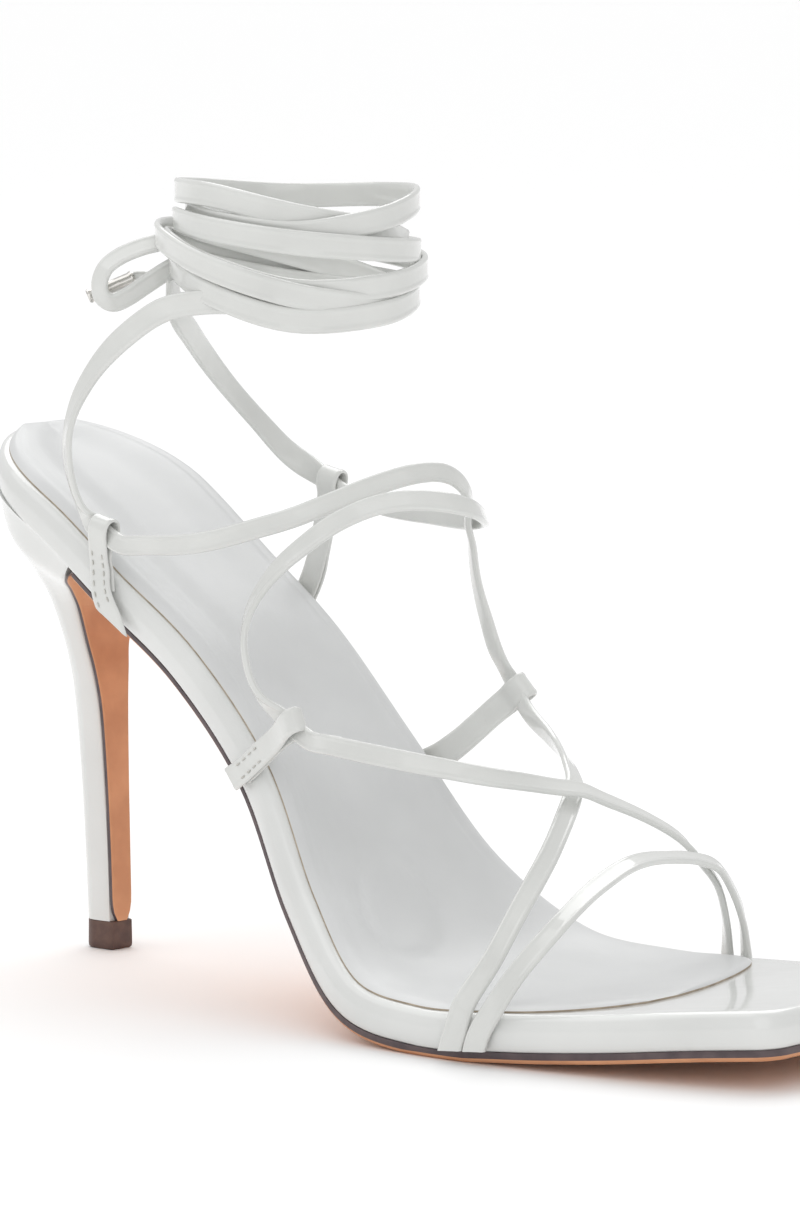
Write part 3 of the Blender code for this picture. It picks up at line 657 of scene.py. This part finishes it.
GLUE = 0.02
SOCK_BASE = PLATFORM_THICK + GLUE
tops, low_edges, high_edges, bottoms = [], [], [], []
stations = fine_stations(0.0, FRONT_START - STATION_STEP)
stations += [float(x) for x in np.arange(FRONT_START, SOCK_TIP, FRONT_STEP)] + [SOCK_TIP]
for x in stations:
    (low_x, low_y), (_, high_y) = sock_sides(x)
    top = []
    for k in range(SOCK_COLUMNS + 1):
        y = low_y + (high_y - low_y) * (0.5 - 0.5 * math.cos(math.pi * k / SOCK_COLUMNS))
        edge_gap = max(0.0, min(y - low_y, high_y - y, low_x - SOCK_INSET, SOCK_TIP - x))
        rise = SOCK_BASE + sock_height(low_x, y, edge_gap, y - low_y, high_y - y)
        top.append(at(on_sole(low_x, y, rise)))
    low_base, high_base = (at(on_sole(low_x, y, SOCK_BASE)) for y in (low_y, high_y))
    tip_x = low_x
    tops.append(top)
    low_edges.append([low_base, top[0]])
    high_edges.append([top[-1], high_base])
    bottoms.append([high_base, low_base])
bm = new_sheet()
lay_grid(bm, tops, wrap=False)
lay_grid(bm, bottoms, wrap=False)
tip_edge = []
for point in tops[-1]:
    y = (point.y - HEEL_BACK.y) / MM
    tip_edge.append([at(on_sole(tip_x, y, SOCK_BASE)), point])
for edges in (low_edges, high_edges, tip_edge):
    lay_grid(bm, edges, wrap=False, material=1)
sew(bm)
sock = piece("padded_sock", bm, [sock_leather, raw_edge], ["insole"], sharp=60)

# %% [markdown]
# ## Heel
# A stiletto heel is a moulded core with the patent drawn tight round it from the front. Its sections are
# D shapes: a flat breast, sides that ease out and a round back. They shrink quickly below the seat and
# then run down in a slender stem. The breast is covered by leather turned down from the outsole, and the
# hard top piece closes it.

# %% Heel
HEEL = np.array([
    # back x  back z  front x  front z  half   breast  centre y
    (0.2,     102.0,  36.0,    82.9,    24.0,  24.0,   -1.4),
    (3.2,     93.0,   28.6,    79.8,    20.5,  19.0,   -1.2),
    (6.8,     84.8,   24.2,    76.8,    15.2,  13.4,   -1.0),
    (9.8,     75.6,   21.4,    72.2,    10.4,  8.8,    -0.6),
    (11.5,    67.0,   20.7,    65.0,    7.4,   6.1,    -0.3),
    (12.4,    60.0,   21.4,    58.6,    5.9,   4.8,    -0.1),
    (13.4,    51.0,   22.1,    50.4,    4.7,   3.8,    0.0),
    (14.6,    36.0,   22.8,    36.0,    3.9,   3.2,    0.0),
    (15.5,    20.5,   23.4,    20.5,    3.5,   2.9,    0.0),
    (16.2,    6.05,   23.8,    6.05,    3.4,   2.8,    0.0),
])
# closer rows over the first three sections, where the heel narrows quickly
HEEL_STEPS = np.concatenate([np.linspace(0, 3, 31)[:-1], np.linspace(3, len(HEEL) - 1, 49)])
SEAT_GAP, ROUND_SHARE, BREAST_HALF, BACK_COLUMNS, SIDE_ANGLES = 0.05, 0.62, 5, 24, range(15, 90, 15)
heel_rows = curve_through(np.arange(len(HEEL), dtype=float), HEEL, HEEL_STEPS)


def d_outline(back_x, front_x, half, breast):
    """D shape in plan: flat breast, eased sides, round back."""
    depth = front_x - back_x
    round_depth = min(half, depth * ROUND_SHARE)
    shoulder = back_x + round_depth
    flat = [(front_x, breast * (k / BREAST_HALF - 1)) for k in range(2 * BREAST_HALF + 1)]
    eased_side = []
    for angle in SIDE_ANGLES:
        sine = math.sin(math.radians(angle))
        eased_side.append((front_x - (front_x - shoulder) * sine ** 2, breast + (half - breast) * sine))
    round_back = []
    for k in range(BACK_COLUMNS + 1):
        angle = math.pi / 2 + math.pi * k / BACK_COLUMNS
        round_back.append((shoulder + round_depth * math.cos(angle), half * math.sin(angle)))
    return flat + eased_side + round_back + [(x, -y) for x, y in reversed(eased_side)]


rings = []
for step, (back_x, back_z, front_x, front_z, half, breast, centre) in zip(HEEL_STEPS, heel_rows):
    ring = []
    for x, y in d_outline(back_x, front_x, half, breast):
        z = back_z + (x - back_x) / (front_x - back_x) * (front_z - back_z)
        seat = max(0.0, 1 - step)
        ring.append(at((x, centre + y, z + (feather(x) - SEAT_GAP - z) * seat * seat)))
    rings.append(ring)
bm = new_sheet()
lay_grid(bm, rings)
sew(bm)
piece("covered_heel", bm, [patent], ["heel"], sharp=60)

# %% Leather on the heel's breast
FLAP_THICK, FLAP_END, FLAP_AHEAD, FLAP_BACK = 0.9, 6.0, 2.2, -0.1
FLAP_INSET, FLAP_EASE, EASE_THICK = 0.05, 0.25, 0.75
# the flap narrows to a tongue: over what length, by what share, and the least square of its width
TONGUE_LONG, TONGUE_TAPER, TONGUE_LEAST = 5.0, 0.75, 0.05
walls = {"outer": [], "front": [], "inner": [], "back": []}
for step, (_, _, front_x, front_z, _, breast, centre) in zip(HEEL_STEPS, heel_rows):
    tongue = max(0.0, 1 - (front_z - FLAP_END) / TONGUE_LONG)
    half = breast * math.sqrt(max(TONGUE_LEAST, 1 - TONGUE_TAPER * tongue ** 2)) - FLAP_INSET
    bend = max(0.0, 1 - step) ** 2
    ahead_x = front_x + GAP + FLAP_AHEAD * bend
    ahead_z = front_z + (feather(ahead_x + FLAP_THICK) - GAP - front_z) * bend
    across = [-half + FLAP_EASE, -half * 0.5, 0.0, half * 0.5, half - FLAP_EASE]
    edge_deep = FLAP_THICK * EASE_THICK
    section = [(edge_deep, -half)] + [(FLAP_THICK, y) for y in across] + [(edge_deep, half)]
    crest = [at((ahead_x + deep, centre + y, ahead_z)) for deep, y in section]
    back_x, back_z = front_x + GAP + FLAP_BACK, front_z - GAP * bend
    low_back, high_back = (at((back_x, centre + y, back_z)) for y in (-half, half))
    walls["outer"].append([low_back, crest[0]])
    walls["front"].append(crest)
    walls["inner"].append([crest[-1], high_back])
    walls["back"].append([high_back, low_back])
bm = new_sheet()
for wall, rings in walls.items():
    lay_grid(bm, rings, wrap=False, material=0 if wall == "front" else 1)
sew(bm)
piece("breast_leather", bm, [tan_leather, edge_paint], sharp=40)

# %% Top piece
TOP_PIECE = [
    # height, and how far the section grows past the heel's last one
    (6.0, -0.15), (5.85, 0.0), (0.9, 0.05), (0.35, -0.02), (0.1, -0.2), (0.0, -0.45),
]
back_x, _, front_x, _, half, breast, centre = HEEL[-1]
rings = []
for z, grow in TOP_PIECE:
    outline = d_outline(back_x - grow, front_x + FLAP_THICK + grow, half + grow, breast + grow)
    rings.append([at((x, centre + y, z)) for x, y in outline])
bm = new_sheet()
lay_grid(bm, rings)
sew(bm)
piece("rubber_top_piece", bm, [hard_rubber], ["heel_tip"], sharp=40)

# %% [markdown]
# ## Loops
# Four tabs of the same patent come up the platform's wall and fold round the lace, which runs through the
# fold. Each is stitched down in two rows. The fold is a flat ring round the lace, and the tab hangs from
# it down to the feather line.

# %% Eyes, tabs and stitches
STRAP_THICK, LOOP_WIDTH, EYE_TILT = 1.5, 5.4, 0.2
ABOVE_RIM, FOOT_RISE, BELOW_SOLE, END_SHARE = 0.6, 0.3, -3.0, 1.9
STITCH_PITCH, STITCH_START, STITCH_HALF = 5, 10, (0.62 * MM, 0.2 * MM, 0.16 * MM)
LOOPS = {
    # name              eye centre            heading               rim x  sole x  side
    "loop_outer_rear": ((48.3, -28.2, 91.9), (0.92, -0.14, -0.34), 42.8, 50.0, -1),
    "loop_outer_front": ((103.0, -30.8, 58.4), (0.88, -0.04, -0.47), 84.9, 84.2, -1),
    "loop_inner_rear": ((61.3, 25.0, 98.5), (0.92, -0.12, -0.36), 53.6, 54.1, 1),
    "loop_inner_front": ((109.4, 28.6, 59.4), (0.70, -0.26, -0.62), 88.5, 86.5, 1),
}


def eye_frame(name):
    """Centre of a loop's eye with the lace's heading and the outward face."""
    centre, heading, _, _, side = LOOPS[name]
    centre, heading = Vector(centre), Vector(heading).normalized()
    face = Vector((0, side, EYE_TILT))
    face = (face - heading * face.dot(heading)).normalized()
    return centre, heading, face


def through_eye(name, reach, twist=0):
    """A lace point on the eye's axis, this far past its centre, with the face that it has there."""
    centre, heading, face = eye_frame(name)
    return (*(centre + heading * reach), twist, *face)


def wall_run(rim_x, sole_x, side, clear=GAP + STRAP_THICK / 2, twist=0, bend=0.5):
    """Points down the wall's outside, from above the rim to below the feather line, facing outwards."""
    points = []
    ahead = sole_x - rim_x
    stops = [
        # share of the way ahead, rise, and how much of the twist is left
        (0, PLATFORM_THICK + ABOVE_RIM, 1), (bend, PLATFORM_THICK / 2, 0.5), (1, FOOT_RISE, 0),
        (END_SHARE - bend, BELOW_SOLE, 0),
    ]
    for share, rise, hold in stops:
        x = rim_x + ahead * share
        flare = (rim(x + 1, side, 0)[1] - rim(x - 1, side, 0)[1]) / 2
        face = Vector((-flare * side, side, 0)).normalized()
        stand_off = face * (WALL_BULGE + clear)
        points.append((*(on_sole(*rim(x, side, 0), rise) + stand_off), twist * hold, *face))
    return points


def stitch_rows(bm, frames, first, last, offset, out):
    """Short raised stitches in two rows along a tab."""
    for row in (-offset, offset):
        for i in range(first, last, STITCH_PITCH):
            centre, face, across = (Vector(rows[i]) for rows in frames)
            ahead = (Vector(frames[0][i + 1]) - centre).normalized()
            turn = Matrix((ahead, across.normalized(), face.normalized())).transposed().to_4x4()
            spot = Matrix.Translation(at(centre + across * row + face * out))
            place = spot @ turn @ Matrix.Diagonal((*STITCH_HALF, 1))
            bmesh.ops.create_uvsphere(bm, u_segments=8, v_segments=5, radius=1.0, matrix=place)


LAYER, TAB_BEND, TAB_STEP = 1.0, 0.38, 0.4
OUTER_CLEAR, INNER_CLEAR = 0.15 + LAYER * 1.5, 0.1 + LAYER * 0.5
SLACK_THICK, SLACK_WIDE = 0.45, 0.6
FOLD_HALF = LACE_THICK / 2 + SLACK_THICK + LAYER / 2
FOLD_TOP = LACE_WIDTH / 2 + SLACK_WIDE + LAYER / 2
STITCH_OFFSET, STITCH_OUT = LOOP_WIDTH * 0.27, LAYER * 0.48
FOLD = [
    # how far above the eye's middle, share of the fold's half thickness, and how far its face looks up
    (-4.4, 0.42, 0), (-2.6, 0.68, 0), (-0.3, 1, 0), (1.6, 1, 0),
    (FOLD_TOP - 0.5, 0.72, 1), (FOLD_TOP, 0, 1), (FOLD_TOP - 0.5, -0.72, 1),
    (1.6, -1, 0), (-0.3, -1, 0), (-2.6, -0.3, 0), (-4.4, -0.2, 0),
]
for number, name in enumerate(LOOPS):
    eye, _, rim_x, sole_x, side = LOOPS[name]
    outer = wall_run(rim_x, sole_x, side, clear=OUTER_CLEAR, bend=TAB_BEND)
    inner = wall_run(rim_x, sole_x, side, clear=INNER_CLEAR, bend=TAB_BEND)
    eye = Vector(eye)
    rise = (eye - Vector(outer[0][:3])).normalized()
    face = Vector((0, side, EYE_TILT))
    face = (face - rise * face.dot(rise)).normalized()
    route = list(reversed(outer))
    for lift, out, upward in FOLD:
        normal = face * np.sign(out) + rise * upward
        route.append((*(eye + rise * lift + face * (FOLD_HALF * out)), 0, *normal.normalized()))
    route += [(*row[:4], *(-Vector(row[4:]))) for row in inner[:2]]
    frames = strap_frames(route, step=TAB_STEP)
    bm = new_sheet()
    lay_grid(bm, strap_rings(frames, LOOP_WIDTH, LAYER, seed=4.0 + number))
    trim(bm, at(on_sole(sole_x, 0, TRIM_RISE)), sole_up(sole_x))
    sew(bm)
    piece(name.replace("loop", "lace_loop"), bm, [strap_patent], [name])
    bm = new_sheet()
    foot = round(length_of(np.array([row[:3] for row in outer[2:]])) / TAB_STEP)
    reach = round(length_of(np.array([row[:3] for row in outer])) / TAB_STEP)
    stitch_rows(bm, frames, foot + STITCH_START, reach + STITCH_START, STITCH_OFFSET, STITCH_OUT)
    piece(name.replace("loop", "stitches"), bm, [thread])

# %% [markdown]
# ## Laces and toe strap
# Two laces start in the rear loops, cross over the instep, run through the front loops and cross again on
# the way to the edge of the forefoot. A third strap crosses the toes. Their ends go down the wall and are
# trimmed at the feather line.

# %% Routes of the upper
INSTEP_FROM_OUTER = [
    (61.7, -29.5, 90.6, 0), (69.6, -29.3, 91.2, 0), (79.6, -28.4, 93.0, 0), (88.6, -26.3, 95.7, 0),
    (95.5, -22.3, 98.2, 0), (101.5, -17.0, 101.4, 0), (107.2, -9.5, 104.8, 0), (111.7, -2.5, 106.7, 0),
    (113.5, 1.5, 106.6, 0), (114.2, 5.0, 105.0, 0), (113.9, 8.2, 102.4, 0), (112.9, 10.8, 99.6, 0),
    (110.5, 13.7, 95.3, 0), (107.3, 17.5, 88.6, 0), (105.2, 21.0, 81.9, 0), (104.8, 24.0, 74.9, 0),
    (105.6, 27.0, 66.5, 0),
]
VAMP_TO_OUTER = [
    (124.0, 22.0, 52.5, 0), (140.4, 9.6, 49.2, 0), (148.3, 2.0, 46.6, 0), (152.0, -5.0, 43.0, -6),
    (157.0, -16.0, 36.6, -16), (159.6, -27.0, 28.4, -26), (160.0, -36.0, 18.9, -28),
]
INSTEP_FROM_INNER = [
    (75.9, 25.0, 95.0, 0), (93.3, 21.0, 94.8, 0), (107.5, 16.6, 95.2, 0), (115.5, 11.0, 97.0, 0),
    (120.0, 5.0, 98.8, 0), (121.9, 0.0, 100.4, 0), (121.2, -5.6, 101.8, 0), (118.6, -10.0, 102.4, 0),
    (113.7, -16.5, 101.8, 2), (107.5, -21.6, 98.6, 8), (100.8, -25.3, 93.2, 18), (96.2, -27.5, 88.7, 26),
    (92.4, -29.0, 83.7, 33), (90.6, -30.3, 79.1, 37), (90.4, -31.3, 74.8, 38), (91.6, -32.0, 70.6, 38),
    (93.7, -32.4, 66.0, 38), (96.3, -32.1, 62.8, 34),
]
VAMP_TO_INNER = [
    (116.6, -33.6, 56.2, 0), (134.6, -28.0, 53.8, 0), (144.6, -19.0, 51.3, 0), (149.6, -6.0, 48.4, 0),
    (150.4, 1.0, 46.4, 0), (152.8, 10.0, 43.2, 2), (155.1, 16.0, 40.1, 5), (157.6, 22.5, 35.9, 12),
    (159.0, 27.5, 31.6, 24), (158.8, 32.5, 25.9, 38), (157.3, 36.7, 20.3, 40),
]
TOE_OVER = [
    (168.6, -39.6, 17.2, 2), (172.5, -32.0, 26.3, 12), (170.5, -16.0, 33.1, 22), (168.0, -3.0, 35.3, 18),
    (165.4, 11.0, 34.2, 10), (163.4, 20.5, 32.4, 12), (162.4, 26.2, 30.2, 25), (161.8, 31.8, 26.8, 38),
    (160.6, 37.0, 21.4, 42), (158.9, 40.8, 16.4, 40),
]
# each strap's near and far end: station at the rim and at the sole, then its twist at the rim
VAMP_ENDS, VAMP_TWISTS = ((158.6, 155.6), (154.4, 154.0)), (-24, 36)
TOE_ENDS, TOE_TWISTS, TOE_BEND = ((165.2, 161.1), (158.9, 158.9)), (0, 38), 0.7
LEAVING, PASSING, TURNING = (0.4, 2.4, 5.0), (-4.0, -1.5, 1.5, 4.0), (26, 8, 0, 0)
CROSSINGS = {
    # where two straps cross: the lower one is pressed in and the upper one lifted
    "instep": (111.2, 13.4, 96.2),
    "vamp": (149.4, 1.0, 46.5),
    "toes": (160.6, 27.4, 30.6),
}
PRESS, LIFT = -0.9, 0.9

first = [through_eye("loop_outer_rear", reach) for reach in LEAVING] + INSTEP_FROM_OUTER
first += [through_eye("loop_inner_front", reach) for reach in PASSING] + VAMP_TO_OUTER
first += wall_run(*VAMP_ENDS[0], -1, twist=VAMP_TWISTS[0])
second = [through_eye("loop_inner_rear", reach) for reach in LEAVING] + INSTEP_FROM_INNER
second += [through_eye("loop_outer_front", *stop) for stop in zip(PASSING, TURNING)] + VAMP_TO_INNER
second += wall_run(*VAMP_ENDS[1], 1, twist=VAMP_TWISTS[1])
toe = list(reversed(wall_run(*TOE_ENDS[0], -1, twist=TOE_TWISTS[0], bend=TOE_BEND)))
toe += TOE_OVER + wall_run(*TOE_ENDS[1], 1, twist=TOE_TWISTS[1])

under = [(*CROSSINGS["instep"], PRESS), (*CROSSINGS["vamp"], PRESS)]
frames = strap_frames(first, crossings=under)
widths = spread_at(frames, -1)
strap("lace_from_outer", frames, ["upper_straps"], width=widths, seed=11.0, feet=[VAMP_ENDS[0][1]])
mixed = [(*CROSSINGS["instep"], LIFT), (*CROSSINGS["vamp"], LIFT), (*CROSSINGS["toes"], PRESS)]
strap("lace_from_inner", strap_frames(second, crossings=mixed), seed=12.0, feet=[VAMP_ENDS[1][1]])
toe_feet = [sole_x for _, sole_x in TOE_ENDS]
frames = strap_frames(toe, crossings=[(*CROSSINGS["toes"], LIFT)])
strap("toe_strap", frames, width=spread_at(frames, 0), seed=13.0, feet=toe_feet)

# %% [markdown]
# ## Ankle tie
# The lace goes on from the rear loops in two risers, and one of them is wound about six times round the
# ankle. The turns cross each other as hand-wound ones do. The height of each quarter turn, and how
# far it lies inside or outside its neighbours, come from a table.

# %% Wound tie and risers
WRAP_CENTRE, WRAP_AXES, WRAP_START = (73.8, 0.0), (27.2, 24.0), (-0.738, -0.675)
WRAP_WIDTH = 5.0
WRAP = np.array([
    # height and layer of each turn at the outer back, the outer front, the inner front and the inner back
    (136.9, -3.4), (139.4, -3.4), (138.6, -3.0), (140.6, -2.0),
    (146.4, -1.6), (136.6, 0.3), (140.4, -0.4), (143.2, -0.3),
    (150.8, -0.6), (142.2, -1.6), (145.4, 1.2), (149.0, 1.2),
    (152.0, 1.2), (141.5, 0.2), (138.6, -1.8), (146.4, -1.9),
    (154.8, -2.3), (152.0, 0.2), (148.8, -0.2), (149.6, -3.6),
    (156.6, -4.9), (153.7, -1.6), (159.2, -0.4), (158.0, -0.5),
    (160.6, -2.8), (157.0, -2.8), (150.5, -2.6),
])
RISER_OUTER = [
    (42.6, -29.0, 96.8, 8), (40.7, -30.2, 103.8, 14), (40.4, -30.6, 110.5, 14), (41.4, -29.8, 116.4, 17),
    (46.2, -28.6, 124.6, 22), (55.0, -27.0, 132.8, 27), (62.6, -25.0, 137.6, 20), (70.5, -23.4, 139.3, 8),
    (80.2, -21.2, 139.9, 0),
]
RISER_INNER = [
    (51.1, 23.0, 104.2, 15), (47.3, 18.5, 110.6, 20), (45.8, 11.5, 117.8, 15), (47.0, 3.0, 125.1, 0),
    (51.2, -6.0, 130.9, -20), (54.7, -12.5, 134.8, -35), (56.8, -16.5, 138.6, -30), (58.2, -18.3, 143.6, -20),
]
ENTERING = (-0.4, -2.0, -4.0)
# the first eighth of a turn that the riser joins, and the one near the top that stands a little higher
WRAP_JOIN = 3
TOP_SWELL, TOP_SWELL_AT = 1.2, 49

quarters = np.arange(len(WRAP), dtype=float)
eighths = np.arange(0, len(WRAP) - 0.75, 0.5)
angles = math.atan2(WRAP_START[1], WRAP_START[0]) + eighths * math.pi / 2
layers = np.interp(eighths, quarters, WRAP[:, 1])
heights = curve_through(quarters, WRAP[:, 0], eighths)
heights[TOP_SWELL_AT] += TOP_SWELL
turns = []
for angle, layer, height in zip(angles, layers, heights):
    x = WRAP_CENTRE[0] + (WRAP_AXES[0] + layer) * math.cos(angle)
    y = WRAP_CENTRE[1] + (WRAP_AXES[1] + layer) * math.sin(angle)
    turns.append((x, y, float(height), 0))
wound = [through_eye("loop_outer_rear", reach) for reach in ENTERING] + RISER_OUTER + turns[WRAP_JOIN:]
strap("wound_tie", strap_frames(wound), ["ankle_tie"], width=WRAP_WIDTH, seed=21.0)
inner = [through_eye("loop_inner_rear", reach) for reach in ENTERING] + RISER_INNER
strap("inner_riser", strap_frames(inner), width=WRAP_WIDTH, seed=22.0)

# %% [markdown]
# ## Studio
# A pale floor under a bright even sky, with one large soft box high on the left and a weaker one in
# front, gives the long soft highlights of a product photo. A wide high window behind the sandal draws the
# open shadow towards the camera.

# %% Floor and light
FLOOR_SIZE, FLOOR_DROP, SKY_STRENGTH = 12.0, 0.02 * MM, 0.74
LIGHT_AIM = Vector((0, 0, 0.06))
SOFT_BOXES = [
    # name   place in metres    size  watts
    ("key", (-0.7, -0.6, 1.3), 1.2, 3.4),
    ("front", (0.9, -1.0, 0.7), 1.2, 2.6),
]
SUN_LEAN, SUN_POWER, SUN_WIDTH = 0.7, 1.1, math.radians(50)

floor_finish = bpy.data.materials.new("studio_paper")
floor_finish.use_nodes = True
paper = floor_finish.node_tree.nodes["Principled BSDF"]
paper.inputs["Base Color"].default_value = linear("#fafafa")
paper.inputs["Roughness"].default_value = 0.7
paper.inputs["Specular IOR Level"].default_value = 0.2
bm = bmesh.new()
bmesh.ops.create_grid(bm, x_segments=1, y_segments=1, size=FLOOR_SIZE)
floor_mesh = bpy.data.meshes.new("floor")
bm.to_mesh(floor_mesh)
bm.free()
floor_mesh.materials.append(floor_finish)
floor = bpy.data.objects.new("floor", floor_mesh)
floor.location.z = -FLOOR_DROP
bpy.context.scene.collection.objects.link(floor)

sky = bpy.data.worlds.new("studio_sky")
sky.use_nodes = True
sky.node_tree.nodes["Background"].inputs["Color"].default_value = (1, 1, 1, 1)
sky.node_tree.nodes["Background"].inputs["Strength"].default_value = SKY_STRENGTH
bpy.context.scene.world = sky
bpy.context.scene.view_settings.view_transform = "Standard"
for name, place, size, power in SOFT_BOXES:
    light = bpy.data.objects.new(name, bpy.data.lights.new(name, "AREA"))
    light.data.size = size
    light.data.energy = power
    light.location = place
    light.rotation_euler = (LIGHT_AIM - light.location).to_track_quat("-Z", "Y").to_euler()
    bpy.context.scene.collection.objects.link(light)
sun = bpy.data.objects.new("high_window", bpy.data.lights.new("high_window", "SUN"))
sun.data.energy = SUN_POWER
sun.data.angle = SUN_WIDTH
sun_ray = Vector((back.x, back.y, 0)) * SUN_LEAN - Vector((0, 0, 1))
sun.rotation_euler = sun_ray.to_track_quat("-Z", "Y").to_euler()
bpy.context.scene.collection.objects.link(sun)
